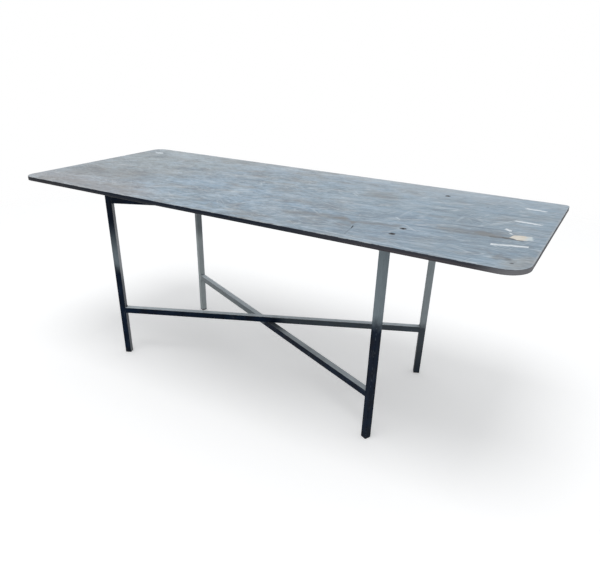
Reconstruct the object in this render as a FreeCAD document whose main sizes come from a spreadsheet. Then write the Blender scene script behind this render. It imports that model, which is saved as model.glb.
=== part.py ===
import FreeCAD, Part
import os
import Sketcher

# A worn, film-faced board on a welded base of square steel tube. Two flat portal frames
# cross on the diagonals: frame A joins the front left and back right legs, frame B the
# back left and front right legs. The origin is on the floor under the middle of the
# board, +X along the board, +Y to the back and +Z up, all in millimetres.

SIZES = {
    # Board: a wooden core with a hard film on both faces
    "table_height": 750,
    "top_length": 1900,
    "top_width": 780,
    "top_thickness": 15,
    "top_corner_front_left": 45,
    "top_corner_front_right": 75,
    "top_corner_back_left": 45,
    "top_corner_back_right": 15,
    "film_thickness": 1,
    "film_round": 0.6,
    # An old hole in the board, left from its earlier use
    "old_hole_x": 560,
    "old_hole_y": -206,
    "old_hole_diameter": 8,
    "old_hole_depth": 9,
    # Base: how far its middle sits to the left of the board's middle, and the leg centres
    "base_offset": 45,
    "leg_x": 576,
    "leg_y": 263,
    # Square tube of legs and rails
    "tube": 25,
    "tube_wall": 2,
    "tube_corner": 2.5,
    "bore_corner": 0.6,
    # Floor to the under side of the lowest rail, and board to the upper side of the highest
    "lower_rail_height": 168,
    "top_rail_gap": 20,
    # Plastic plug in the lower end of each leg
    "foot_height": 5,
    "foot_round": 1.5,
    "plug_depth": 22,
    "plug_wall": 2.5,
    "plug_clearance": 0.15,
    # Fixing plate on each leg, with its overhang past the tube and past the bolt
    "plate_thickness": 5,
    "plate_corner": 5,
    "plate_lip": 5,
    "plate_side": 8,
    "plate_end": 14,
    # Countersunk bolt outside each leg, through board and plate
    "bolt_offset": 22,
    "bolt_diameter": 6,
    "bolt_tail": 3,
    "bolt_chamfer": 0.8,
    "head_diameter": 12,
    "head_sink": 0.3,
    "socket_width": 4,
    "socket_depth": 2.2,
    "hole_clearance": 0.4,
    "washer_diameter": 12,
    "washer_thickness": 1.6,
    "nut_width": 10,
    "nut_height": 5,
    "thread_clearance": 0.1,
    # Quarter-round weld beads, and how far they stop short of the tube's rounded corners
    "weld_size": 4,
    "cross_weld_size": 5,
    "weld_margin": 1,
    # How far a cutting shape runs past the face that it opens
    "overrun": 0.5,
}

# Derived sizes and places, as expressions over the sheet
DIAGONAL = "atan2(Sizes.leg_y; Sizes.leg_x)"
REACH = "sqrt(Sizes.leg_x^2 + Sizes.leg_y^2)"
BORE = "(Sizes.tube - 2 * Sizes.tube_wall)"
INNER_FACE = f"({REACH} - Sizes.tube / 2)"
BOARD_BOTTOM = "(Sizes.table_height - Sizes.top_thickness)"
CORE_THICKNESS = "(Sizes.top_thickness - 2 * Sizes.film_thickness)"
PLATE_BOTTOM = f"({BOARD_BOTTOM} - Sizes.plate_thickness)"
PLATE_INNER = "(Sizes.tube / 2 + Sizes.plate_lip)"
PLATE_OUTER = "(Sizes.bolt_offset + Sizes.plate_end)"
PLATE_CENTRE = f"(({PLATE_OUTER} - {PLATE_INNER}) / 2)"
LOWER_B = "Sizes.lower_rail_height"
LOWER_A = f"({LOWER_B} + Sizes.tube)"
TOP_B = f"({BOARD_BOTTOM} - Sizes.top_rail_gap - Sizes.tube)"
TOP_A = f"({TOP_B} - Sizes.tube)"
BOLT_REACH = f"({REACH} + Sizes.bolt_offset)"
BOLT_HOLE = "(Sizes.bolt_diameter + Sizes.hole_clearance)"
HEAD_HEIGHT = "((Sizes.head_diameter - Sizes.bolt_diameter) / 2)"
HEAD_TOP = "(Sizes.table_height - Sizes.head_sink)"
SINK_HEIGHT = f"({HEAD_HEIGHT} + Sizes.head_sink + Sizes.overrun)"
WASHER_BOTTOM = f"({PLATE_BOTTOM} - Sizes.washer_thickness)"
NUT_BOTTOM = f"({WASHER_BOTTOM} - Sizes.nut_height)"
BOLT_LENGTH = f"({HEAD_TOP} - {NUT_BOTTOM} + Sizes.bolt_tail)"
WELD_LENGTH = "(Sizes.tube - 2 * Sizes.tube_corner - 2 * Sizes.weld_margin)"

# Direction of each leg from the middle of the base
CORNERS = {
    "front_left": f"(180 deg + {DIAGONAL})",
    "front_right": f"(-{DIAGONAL})",
    "back_left": f"(180 deg - {DIAGONAL})",
    "back_right": f"({DIAGONAL})",
}

# Corner radii of the board, round from the front right
TOP_CORNERS = [
    "Sizes.top_corner_front_right",
    "Sizes.top_corner_back_right",
    "Sizes.top_corner_back_left",
    "Sizes.top_corner_front_left",
]

# Direction of each crossing frame
FRAME_A = CORNERS["back_right"]
FRAME_B = CORNERS["front_right"]

TOUCH = 1e-6
HEXAGON = 6
QUARTER = "90 deg"

doc = FreeCAD.newDocument("Table")
sheet = doc.addObject("Spreadsheet::Sheet", "Sizes")
for row, (size_name, value) in enumerate(SIZES.items(), start=1):
    sheet.set(f"A{row}", size_name)
    sheet.set(f"B{row}", str(value))
    sheet.setAlias(f"B{row}", size_name)
doc.recompute()

nodes = []


def number(expression):
    """The present value of an expression."""
    return float(sheet.evalExpression(expression))


def bind(item, **expressions):
    """Tie properties of an item to expressions."""
    for name, expression in expressions.items():
        item.setExpression(name, expression)


def place(item, angle, out, side, height, yaw="0 deg", pitch="0 deg", roll="0 deg"):
    """Put an item in the base: out along a diagonal, sideways from it, above the floor."""
    x = f"-Sizes.base_offset + {out} * cos({angle}) - {side} * sin({angle})"
    y = f"{out} * sin({angle}) + {side} * cos({angle})"
    turn = f"rotation({angle} + {yaw}; {pitch}; {roll})"
    item.setExpression("Placement", f"placement(vector({x}; {y}; {height}); {turn})")


def new_sketch(body, name, role="XY_Plane"):
    """An empty sketch on one of a body's own origin planes."""
    plane = next(f for f in body.Origin.OriginFeatures if f.Role == role)
    sketch = body.newObject("Sketcher::SketchObject", name)
    sketch.AttachmentSupport = (plane, [""])
    sketch.MapMode = "FlatFace"
    return sketch


def dimension(sketch, expression, kind, *where):
    """Add a driving dimension tied to an expression."""
    index = sketch.addConstraint(Sketcher.Constraint(kind, *where, number(expression)))
    sketch.setExpression(f"Constraints[{index}]", expression)


def rounded_rectangle(sketch, width, depth, radii):
    """Draw a rounded rectangle about the sketch's origin, with its corner radii front right first."""
    first = sketch.GeometryCount
    half_width = f"({width}) / 2"
    half_depth = f"({depth}) / 2"
    x = number(half_width)
    y = number(half_depth)
    ways = [(1, -1), (1, 1), (-1, 1), (-1, -1)]
    rounds = [number(radius) for radius in radii]
    centres = [(way_x * (x - r), way_y * (y - r)) for (way_x, way_y), r in zip(ways, rounds)]
    sides = [
        ((centres[3][0], -y), (centres[0][0], -y)),
        ((x, centres[0][1]), (x, centres[1][1])),
        ((centres[1][0], y), (centres[2][0], y)),
        ((-x, centres[2][1]), (-x, centres[3][1])),
    ]
    for start, end in sides:
        line = Part.LineSegment(FreeCAD.Vector(*start, 0), FreeCAD.Vector(*end, 0))
        sketch.addGeometry(line, False)
    quarter = FreeCAD.Units.parseQuantity(QUARTER).getValueAs("rad").Value
    for turn, (centre, r) in enumerate(zip(centres, rounds), start=-1):
        circle = Part.Circle(FreeCAD.Vector(*centre, 0), FreeCAD.Vector(0, 0, 1), r)
        sketch.addGeometry(Part.ArcOfCircle(circle, turn * quarter, (turn + 1) * quarter), False)
    for index in range(4):
        line = first + index
        arc = first + 4 + index
        following = first + (index + 1) % 4
        sketch.addConstraint(Sketcher.Constraint("Tangent", line, 2, arc, 1))
        sketch.addConstraint(Sketcher.Constraint("Tangent", arc, 2, following, 1))
        sketch.addConstraint(Sketcher.Constraint("Vertical" if index % 2 else "Horizontal", line))
    for index, radius in enumerate(radii):
        dimension(sketch, radius, "Radius", first + 4 + index)
    dimension(sketch, half_depth, "DistanceY", first, 1, -1, 1)
    dimension(sketch, half_width, "DistanceX", -1, 1, first + 1, 1)
    dimension(sketch, half_depth, "DistanceY", -1, 1, first + 2, 1)
    dimension(sketch, half_width, "DistanceX", first + 3, 1, -1, 1)


def pad(body, sketch, length):
    """Raise a sketch to a solid."""
    feature = body.newObject("PartDesign::Pad", f"{sketch.Name}_pad")
    feature.Profile = sketch
    bind(feature, Length=length)
    doc.recompute()
    return feature


def round_edges(body, feature, height, radius):
    """Round the edges of a feature that lie at one height."""
    names = [
        f"Edge{index}"
        for index, edge in enumerate(feature.Shape.Edges, start=1)
        if all(abs(vertex.Z - height) < TOUCH for vertex in edge.Vertexes)
    ]
    fillet = body.newObject("PartDesign::Fillet", f"{feature.Name}_round")
    fillet.Base = (feature, names)
    bind(fillet, Radius=radius)
    doc.recompute()


def cut(label, base, tool):
    """One item less another."""
    item = doc.addObject("Part::Cut", label)
    item.Base = base
    item.Tool = tool
    return item


def fuse(label, shapes):
    """Several shapes as one."""
    item = doc.addObject("Part::MultiFuse", label)
    item.Shapes = shapes
    return item


def cylinder(label, radius, height, bottom="0"):
    """A round bar about Z."""
    item = doc.addObject("Part::Cylinder", label)
    bind(item, Radius=radius, Height=height)
    item.setExpression("Placement.Base.z", bottom)
    return item


def cone(label, low_radius, high_radius, height, bottom="0"):
    """A cut cone about Z."""
    item = doc.addObject("Part::Cone", label)
    bind(item, Radius1=low_radius, Radius2=high_radius, Height=height)
    item.setExpression("Placement.Base.z", bottom)
    return item


def hexagon(label, across_flats, height, bottom="0"):
    """A six-sided bar about Z."""
    item = doc.addObject("Part::Prism", label)
    item.Polygon = HEXAGON
    bind(item, Circumradius=f"{across_flats} / sqrt(3)", Height=height)
    item.setExpression("Placement.Base.z", bottom)
    return item


def compound(label, items):
    """Separate solids of one kind, kept as one node."""
    item = doc.addObject("Part::Compound", label)
    item.Links = items
    nodes.append(item)


# Board

def board_layer(label, bottom, thickness, drilling, rounded_at=None):
    """One layer of the board, drilled for the bolts, with an outer edge rounded if asked."""
    body = doc.addObject("PartDesign::Body", f"{label}_blank")
    sketch = new_sketch(body, f"{label}_outline")
    rounded_rectangle(sketch, "Sizes.top_length", "Sizes.top_width", TOP_CORNERS)
    feature = pad(body, sketch, thickness)
    if rounded_at is not None:
        round_edges(body, feature, number(rounded_at), "Sizes.film_round")
    body.setExpression("Placement.Base.z", bottom)
    nodes.append(cut(label, body, drilling))


def board_drilling():
    """Countersunk bolt holes over the legs, and the old hole."""
    drills = []
    for corner, angle in CORNERS.items():
        hole = doc.addObject("Part::Cylinder", f"hole_{corner}")
        bind(hole, Radius=f"{BOLT_HOLE} / 2", Height="Sizes.top_thickness + 2 * Sizes.overrun")
        place(hole, angle, BOLT_REACH, "0", f"{BOARD_BOTTOM} - Sizes.overrun")
        sink = doc.addObject("Part::Cone", f"countersink_{corner}")
        bind(sink, Radius1=f"{BOLT_HOLE} / 2", Radius2=f"{BOLT_HOLE} / 2 + {SINK_HEIGHT}", Height=SINK_HEIGHT)
        place(sink, angle, BOLT_REACH, "0", f"{HEAD_TOP} - {HEAD_HEIGHT}")
        drills += [hole, sink]
    old_hole = cylinder(
        "old_hole",
        "Sizes.old_hole_diameter / 2",
        "Sizes.old_hole_depth + Sizes.overrun",
        "Sizes.table_height - Sizes.old_hole_depth",
    )
    old_hole.setExpression("Placement.Base.x", "Sizes.old_hole_x")
    old_hole.setExpression("Placement.Base.y", "Sizes.old_hole_y")
    return fuse("board_drilling", drills + [old_hole])


def board():
    """Core and the two films."""
    drilling = board_drilling()
    film = "Sizes.film_thickness"
    board_layer("tabletop_core", f"{BOARD_BOTTOM} + {film}", CORE_THICKNESS, drilling)
    board_layer("tabletop_film_top", f"Sizes.table_height - {film}", film, drilling, film)
    board_layer("tabletop_film_bottom", BOARD_BOTTOM, film, drilling, "0")


# Legs and rails

def square_tube(label, length, role):
    """A length of square tube, standing on XY or lying along X."""
    body = doc.addObject("PartDesign::Body", label)
    sketch = new_sketch(body, f"{label}_section", role)
    rounded_rectangle(sketch, "Sizes.tube", "Sizes.tube", ["Sizes.tube_corner"] * 4)
    rounded_rectangle(sketch, BORE, BORE, ["Sizes.bore_corner"] * 4)
    pad(body, sketch, length)
    nodes.append(body)
    return body


def legs():
    """Upright tubes from the foot plugs to the fixing plates."""
    for corner, angle in CORNERS.items():
        leg = square_tube(f"leg_{corner}", f"{PLATE_BOTTOM} - Sizes.foot_height", "XY_Plane")
        place(leg, angle, REACH, "0", "Sizes.foot_height")


def rails():
    """Level tubes between the inner faces of the two legs of a frame."""
    levels = [
        ("lower_rail_a", FRAME_A, LOWER_A),
        ("lower_rail_b", FRAME_B, LOWER_B),
        ("top_rail_a", FRAME_A, TOP_A),
        ("top_rail_b", FRAME_B, TOP_B),
    ]
    for label, angle, bottom in levels:
        rail = square_tube(label, f"2 * {INNER_FACE}", "YZ_Plane")
        place(rail, angle, f"(-{INNER_FACE})", "0", f"{bottom} + Sizes.tube / 2")


# Feet

def feet():
    """Plastic plugs: a rounded tread under the tube and a hollow stem inside it."""
    stem = f"({BORE} - 2 * Sizes.plug_clearance)"
    hollow = f"({stem} - 2 * Sizes.plug_wall)"
    for corner, angle in CORNERS.items():
        label = f"foot_plug_{corner}"
        body = doc.addObject("PartDesign::Body", label)
        tread = new_sketch(body, f"{label}_tread")
        rounded_rectangle(tread, "Sizes.tube", "Sizes.tube", ["Sizes.tube_corner"] * 4)
        pad(body, tread, "Sizes.foot_height")
        ring = new_sketch(body, f"{label}_stem")
        ring.setExpression("AttachmentOffset.Base.z", "Sizes.foot_height")
        rounded_rectangle(ring, stem, stem, ["Sizes.bore_corner"] * 4)
        rounded_rectangle(ring, hollow, hollow, ["Sizes.bore_corner"] * 4)
        stem_pad = pad(body, ring, "Sizes.plug_depth")
        round_edges(body, stem_pad, 0, "Sizes.foot_round")
        place(body, angle, REACH, "0", "0")
        nodes.append(body)


# Fixing plates and their fasteners

def plates():
    """Flat plates that close the leg tops and reach out to the bolts."""
    for corner, angle in CORNERS.items():
        label = f"fixing_plate_{corner}"
        body = doc.addObject("PartDesign::Body", label)
        sketch = new_sketch(body, f"{label}_outline")
        sketch.setExpression("AttachmentOffset.Base.x", PLATE_CENTRE)
        width = "Sizes.tube + 2 * Sizes.plate_side"
        rounded_rectangle(sketch, f"{PLATE_OUTER} + {PLATE_INNER}", width, ["Sizes.plate_corner"] * 4)
        bolt_x = f"Sizes.bolt_offset - {PLATE_CENTRE}"
        middle = FreeCAD.Vector(number(bolt_x), 0, 0)
        circle = Part.Circle(middle, FreeCAD.Vector(0, 0, 1), number(f"{BOLT_HOLE} / 2"))
        hole = sketch.addGeometry(circle, False)
        sketch.addConstraint(Sketcher.Constraint("PointOnObject", hole, 3, -1))
        dimension(sketch, bolt_x, "DistanceX", -1, 1, hole, 3)
        dimension(sketch, BOLT_HOLE, "Diameter", hole)
        pad(body, sketch, "Sizes.plate_thickness")
        place(body, angle, REACH, "0", PLATE_BOTTOM)
        nodes.append(body)


def at_each_bolt(label, master, height):
    """One copy of a fastener at each bolt."""
    copies = []
    for corner, angle in CORNERS.items():
        copy = doc.addObject("App::Link", f"{label}_{corner}")
        copy.LinkedObject = master
        place(copy, angle, BOLT_REACH, "0", height)
        copies.append(copy)
    compound(label, copies)


def bolt():
    """Countersunk bolt with a socket, hanging down from the top of its head."""
    radius = "Sizes.bolt_diameter / 2"
    chamfer = "Sizes.bolt_chamfer"
    head = cone("bolt_head", radius, "Sizes.head_diameter / 2", HEAD_HEIGHT, f"-{HEAD_HEIGHT}")
    shank_length = f"{BOLT_LENGTH} - {HEAD_HEIGHT} - {chamfer}"
    shank = cylinder("bolt_shank", radius, shank_length, f"{chamfer} - {BOLT_LENGTH}")
    tip = cone("bolt_tip", f"{radius} - {chamfer}", radius, chamfer, f"-{BOLT_LENGTH}")
    depth = "Sizes.socket_depth + Sizes.overrun"
    socket = hexagon("bolt_socket", "Sizes.socket_width", depth, "-Sizes.socket_depth")
    return cut("bolt", fuse("bolt_blank", [head, shank, tip]), socket)


def washer():
    """Flat ring under the plate."""
    depth = "Sizes.washer_thickness + 2 * Sizes.overrun"
    disc = cylinder("washer_disc", "Sizes.washer_diameter / 2", "Sizes.washer_thickness")
    return cut("washer", disc, cylinder("washer_hole", f"{BOLT_HOLE} / 2", depth, "-Sizes.overrun"))


def nut():
    """Hexagon nut, its bore clear of the bolt by the thread's play."""
    bore = "Sizes.bolt_diameter / 2 + Sizes.thread_clearance"
    depth = "Sizes.nut_height + 2 * Sizes.overrun"
    block = hexagon("nut_block", "Sizes.nut_width", "Sizes.nut_height")
    return cut("nut", block, cylinder("nut_bore", bore, depth, "-Sizes.overrun"))


# Welds

def bead(label, angle, out, side, height, radius, turn):
    """A quarter-round weld bead in an inside corner; turn is its yaw, pitch and roll."""
    item = doc.addObject("Part::Cylinder", label)
    bind(item, Radius=radius, Height=WELD_LENGTH, Angle=QUARTER)
    place(item, angle, out, side, height, *turn)
    return item


def rail_welds(label, bottoms):
    """Beads above and below each rail end, against the inner face of its leg."""
    above = ("0 deg", "-90 deg", "90 deg")
    below = ("0 deg", "180 deg", "90 deg")
    half = f"{WELD_LENGTH} / 2"
    beads = []
    for corner, angle in CORNERS.items():
        bottom = bottoms[corner]
        spots = [("above", f"{bottom} + Sizes.tube", above), ("below", bottom, below)]
        for spot, height, turn in spots:
            name = f"{label}_{corner}_{spot}"
            beads.append(bead(name, angle, INNER_FACE, half, height, "Sizes.weld_size", turn))
    compound(label, beads)


def plate_welds():
    """Beads along both sides of each leg, under its fixing plate."""
    spots = [
        ("left", "Sizes.tube / 2", ("90 deg", "0 deg", "-90 deg")),
        ("right", "(-Sizes.tube / 2)", ("0 deg", "90 deg", "180 deg")),
    ]
    start = f"({REACH} + {WELD_LENGTH} / 2)"
    beads = []
    for corner, angle in CORNERS.items():
        for spot, side, turn in spots:
            name = f"plate_welds_{corner}_{spot}"
            beads.append(bead(name, angle, start, side, PLATE_BOTTOM, "Sizes.weld_size", turn))
    compound("plate_welds", beads)


def crossing_welds():
    """Beads along both sides of the upper rail, on the rail that it crosses."""
    shift = f"((Sizes.tube + Sizes.cross_weld_size) / 2 / tan(2 * {DIAGONAL}))"
    spots = [
        ("left", 1, ("90 deg", "0 deg", "90 deg")),
        ("right", -1, ("0 deg", "-90 deg", "180 deg")),
    ]
    crossings = [("lower", FRAME_A, LOWER_A, -1), ("top", FRAME_B, TOP_B, 1)]
    beads = []
    for crossing, angle, height, lean in crossings:
        for spot, sign, turn in spots:
            start = f"({lean * sign} * {shift} - {WELD_LENGTH} / 2)"
            side = f"({sign} * Sizes.tube / 2)"
            name = f"crossing_welds_{crossing}_{spot}"
            beads.append(bead(name, angle, start, side, height, "Sizes.cross_weld_size", turn))
    compound("crossing_welds", beads)


def frame_levels(level_a, level_b):
    """The rail height that each leg meets."""
    return {
        "front_left": level_a,
        "back_right": level_a,
        "front_right": level_b,
        "back_left": level_b,
    }


board()
legs()
rails()
feet()
plates()
at_each_bolt("fixing_bolts", bolt(), HEAD_TOP)
at_each_bolt("fixing_washers", washer(), WASHER_BOTTOM)
at_each_bolt("fixing_nuts", nut(), NUT_BOTTOM)
rail_welds("lower_rail_welds", frame_levels(LOWER_A, LOWER_B))
rail_welds("top_rail_welds", frame_levels(TOP_A, TOP_B))
plate_welds()
crossing_welds()
doc.recompute()

for item in doc.Objects:
    if {"Invalid", "Error"} & set(item.State):
        raise RuntimeError(f"{item.Label} failed to build")
for node in nodes:
    if node.Shape.isNull() or not node.Shape.isValid():
        raise RuntimeError(f"{node.Label} has no valid shape")

os.makedirs("parts", exist_ok=True)
for node in nodes:
    node.Shape.exportStep(f"parts/{node.Label}.step")
    solids = len(node.Shape.Solids)
    print(f"{node.Label}: {solids} solid(s), {node.Shape.Volume / 1000:.2f} cm3")
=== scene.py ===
"""Looks of the pallet table: worn board, painted frame, weld beads, floor, light and camera."""
import math
import random
from itertools import combinations, permutations

import bmesh
import bpy
from mathutils import Matrix, Vector, geometry, noise


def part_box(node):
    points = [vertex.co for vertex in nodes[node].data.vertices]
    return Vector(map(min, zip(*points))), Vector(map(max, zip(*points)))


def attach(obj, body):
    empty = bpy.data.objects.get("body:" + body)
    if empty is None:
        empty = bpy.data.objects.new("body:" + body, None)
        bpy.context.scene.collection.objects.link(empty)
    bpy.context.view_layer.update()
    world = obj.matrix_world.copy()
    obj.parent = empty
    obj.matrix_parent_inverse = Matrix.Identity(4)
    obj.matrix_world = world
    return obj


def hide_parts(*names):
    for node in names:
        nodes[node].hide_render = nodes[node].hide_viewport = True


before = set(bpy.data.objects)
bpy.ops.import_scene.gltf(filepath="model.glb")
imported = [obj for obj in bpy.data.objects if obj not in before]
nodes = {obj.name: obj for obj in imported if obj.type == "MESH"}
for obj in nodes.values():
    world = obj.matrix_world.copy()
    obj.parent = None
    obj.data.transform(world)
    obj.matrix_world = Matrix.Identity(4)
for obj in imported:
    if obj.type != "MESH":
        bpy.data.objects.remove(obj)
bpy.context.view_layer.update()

MM = 0.001
SAME_PLACE = 1e-6

# Board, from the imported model, with the sizes that the model's boxes don't give
FILM_LOW, FILM_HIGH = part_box("tabletop_film_top")
CORE_LOW, CORE_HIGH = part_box("tabletop_core")
BACKING_LOW, BACKING_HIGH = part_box("tabletop_film_bottom")
FILM_HEIGHT = FILM_HIGH.z - FILM_LOW.z
CORE_HEIGHT = CORE_HIGH.z - CORE_LOW.z
BACKING_HEIGHT = BACKING_HIGH.z - BACKING_LOW.z
HALF_LENGTH = CORE_HIGH.x
HALF_WIDTH = CORE_HIGH.y
CORNERS = {(1, -1): 75 * MM, (1, 1): 15 * MM, (-1, 1): 45 * MM, (-1, -1): 45 * MM}
OUTLINE_STEP = 6 * MM
FEWEST_STEPS = 8
CAP_STEP = 70 * MM
CAP_START = (0.7, 0.6)

# Drilling in the board
BOLT_HOLE_RADIUS = 3.2 * MM
COUNTERSINK_BOTTOM = FILM_HIGH.z - 3.3 * MM
OLD_HOLE = Vector((560 * MM, -206 * MM))
OLD_HOLE_RADIUS = 4 * MM
OLD_HOLE_DEPTH = 9 * MM
OLD_HOLE_TAPER = 0.1 * MM
HOLE_SIDES = 28

# Wear of the board's edge and marks in its top, spans of nicks as reach, depth and drop in millimetres
WEAR_SEED = 11
EDGE_ROUGHNESS = 0.35 * MM
EDGE_GRAIN = 40 * MM
EDGE_LAYERING = 6
LIP_ROUND = 1.1 * MM
LIP_GRAIN = 25 * MM
LIP_SWING = 0.55
LIP_SEED = 3
LIP_PROFILE = [(0.0, 0.0), (0.45, 0.0), (0.78, 0.3), (1.0, 1.0)]
PLIES = 9
PLY_STEP = 0.3 * MM
PLY_GROOVE = 0.04
LOOSE_NICKS = 34
LOOSE_NICK_SPANS = ((5, 18), (0.4, 1.5), (2, 9))
FRONT_NICKS = [(102 * MM, 11 * MM), (207 * MM, 8 * MM)]
FRONT_NICK_DEPTH = 2.2 * MM
FRONT_NICK_DROP = 7 * MM
CORNER_NICK_SPANS = ((25, 40), (0.6, 1.1))
CORNER_NICK_INSET = 0.3
CORNER_NICK_DROP = 6 * MM
BRUISE_INSET = 2 * MM
MARK_WALL = 0.35 * MM
MARK_GRAIN = 4 * MM
MARK_SEEDS = 0.37
SHAKE_SHIFT = Vector((9, 4, 2))
BAR_TAPER = 0.6

# Tones by place on the top film, each before its streak's start, end, reach, soft edge and strength
LOCAL_TONES = [
    ((136, 160, 182), (-0.28, -0.05), (0.05, -0.17), 0.02, 0.22, 0.35),
    ((158, 156, 156), (-0.8, -0.22), (-0.5, -0.22), 0.03, 0.1, 0.3),
    ((140, 163, 184), (-0.6, 0.14), (-0.3, 0.12), 0.04, 0.12, 0.25),
    ((134, 160, 184), (0.55, -0.1), (0.55, -0.35), 0.03, 0.08, 0.45),
    ((112, 122, 132), (0.15, -0.25), (0.38, -0.31), 0.02, 0.09, 0.4),
    ((114, 129, 144), (0.25, -0.26), (0.9, -0.2), 0.1, 0.2, 0.25),
    ((151, 160, 159), (-0.8, 0.25), (-0.55, 0.2), 0.08, 0.25, 0.4),
    ((167, 161, 163), (-0.9, -0.37), (-0.45, -0.36), 0.03, 0.17, 0.6),
    ((152, 153, 150), (0.935, -0.28), (0.905, -0.345), 0.01, 0.035, 0.6),
]

# Stains, dark spots, pale scuffs and dark lines on the top film, as streaks
STAINS = [
    ((-0.8, -0.16), (-0.6, -0.11), 0.02, 0.14, 0.34),
    ((-0.85, -0.35), (-0.45, -0.34), 0.01, 0.07, 0.22),
    ((-0.24, 0.19), (-0.2, 0.18), 0.01, 0.07, 0.22),
    ((0.0, 0.02), (0.03, 0.0), 0.01, 0.06, 0.26),
    ((0.32, 0.15), (0.37, 0.13), 0.01, 0.07, 0.36),
    ((0.2, -0.24), (0.347, -0.213), 0.004, 0.035, 0.42),
    ((0.347, -0.213), (0.418, -0.226), 0.002, 0.022, 0.44),
    ((0.418, -0.226), (0.545, -0.18), 0.002, 0.022, 0.46),
    ((0.1, -0.09), (0.3, -0.11), 0.004, 0.05, 0.2),
    ((0.655, -0.135), (0.812, -0.114), 0.008, 0.032, 0.4),
    ((0.77, -0.116), (0.85, -0.116), 0.004, 0.022, 0.4),
    ((-0.55, 0.34), (-0.35, 0.33), 0.005, 0.05, 0.2),
    ((0.855, -0.303), (0.885, -0.308), 0.004, 0.028, 0.42),
]
SPOTS = [
    ((0.899, -0.334), (0.901, -0.334), 0.002, 0.004, 0.8),
    ((0.712, 0.197), (0.714, 0.197), 0.001, 0.004, 0.6),
    ((0.884, -0.303), (0.886, -0.303), 0.003, 0.009, 0.35),
    ((0.8, -0.135), (0.84, -0.124), 0.001, 0.007, 0.6),
    ((0.835, -0.125), (0.885, -0.127), 0.001, 0.007, 0.8),
]
SCUFFS = [
    ((0.497, -0.101), (0.516, -0.119), 0.001, 0.004, 0.55),
    ((0.51, 0.01), (0.503, -0.08), 0.0005, 0.006, 0.2),
    ((0.676, 0.03), (0.672, -0.035), 0.0005, 0.006, 0.2),
    ((-0.125, -0.125), (-0.07, -0.085), 0.002, 0.012, 0.32),
    ((-0.135, -0.095), (-0.095, -0.07), 0.002, 0.01, 0.28),
    ((-0.33, 0.095), (-0.19, 0.125), 0.002, 0.012, 0.22),
    ((-0.3, -0.29), (-0.16, -0.28), 0.002, 0.01, 0.22),
    ((-0.78, -0.27), (-0.735, -0.245), 0.003, 0.014, 0.3),
    ((-0.6, 0.12), (-0.54, 0.135), 0.003, 0.016, 0.22),
    ((0.25, 0.11), (0.275, 0.085), 0.001, 0.006, 0.4),
    ((0.3, -0.358), (0.82, -0.382), 0.001, 0.005, 0.35),
]
RUBBED_LINE = ((0.08, -0.032), (0.19, -0.024), 0.0005, 0.004, 0.45)
OLD_SCRATCH = ((0.428, -0.29), (0.437, -0.352), 0.0005, 0.003, 0.45)

# Hairline scratches in the top film, as size of their noise, width, stretch, turn and strength
SCRATCHES = [
    (0.034, 0.0008, 13, 24, 0.42),
    (0.03, 0.0007, 15, 33, 0.38),
    (0.028, 0.0007, 16, 9, 0.4),
    (0.036, 0.0008, 12, -18, 0.36),
    (0.044, 0.0007, 9, 71, 0.32),
    (0.04, 0.0007, 12, -40, 0.28),
    (0.046, 0.0007, 11, 52, 0.3),
]

# Frame of square tube, with the height at which the painted grey reflection of the floor starts on each leg
TUBE_HALF = 12.5 * MM
REFLECTION_START = {"front_left": 0.385, "front_right": 0.45, "back_left": -0.12, "back_right": 0.21}
FRAME_A = ["leg_front_left", "leg_back_right", "lower_rail_a", "top_rail_a",
           "fixing_plate_front_left", "fixing_plate_back_right"]
FRAME_B = ["leg_back_left", "leg_front_right", "lower_rail_b", "top_rail_b",
           "fixing_plate_back_left", "fixing_plate_front_right"]

# Weld beads
WELDS = ["lower_rail_welds", "top_rail_welds", "plate_welds", "crossing_welds"]
RIPPLE = 1.7 * MM
RIPPLE_RISE = 0.09
RIPPLE_BEND = 0.9
RINGS_PER_RIPPLE = 6
ARC_POINTS = 9
BEAD_FILL = 0.86
BEAD_SWING = 0.05
BEAD_SWING_LENGTH = 5 * MM
BEAD_SEED = 0.5
BEAD_END = 2 * MM
BEAD_END_SIZE = 0.35

# Light and floor
SKY_COLOUR = (0.97, 0.985, 1.0, 1.0)
SKY_LIGHT = 0.62
LAMP_PLACE = Vector((0.1, -1.35, 6.0))
LAMP_TARGET = Vector((0, 0, 0.6))
LAMP_SIZE = 3.0
LAMP_POWER = 107
FLOOR_COLOUR = (0.94, 0.94, 0.94, 1.0)
FLOOR_CLEAR = 2.2
FLOOR_END = 4.0
FLOOR_REACH = 5.0
FLOOR_GLOW = 0.28

# Camera, solved from the photograph's edges
CAMERA_EYE = (1.0971, -1.7767, 1.2376)
CAMERA_AZIMUTH = 30.223
CAMERA_DOWN = 28.194
CAMERA_ROLL = 1.272
CAMERA_LENS = 33.462
CAMERA_SHIFT = (0.01476, 0.07632)
CAMERA_SENSOR = 36
CAMERA_NEAR = 0.05
CAMERA_FAR = 100


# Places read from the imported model

def solids_of(node):
    """The corner points of each separate solid in a node."""
    mesh = bmesh.new()
    mesh.from_mesh(nodes[node].data)
    bmesh.ops.remove_doubles(mesh, verts=mesh.verts, dist=SAME_PLACE)
    waiting = set(mesh.verts)
    solids = []
    for first in mesh.verts:
        if first not in waiting:
            continue
        waiting.remove(first)
        reached = [first]
        for vert in reached:
            for edge in vert.link_edges:
                other = edge.other_vert(vert)
                if other in waiting:
                    waiting.remove(other)
                    reached.append(other)
        solids.append([vert.co.copy() for vert in reached])
    mesh.free()
    return solids


def middle_of(points):
    """The mean place of some points, seen from above."""
    return sum((point.xy for point in points), Vector((0, 0))) / len(points)


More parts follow.
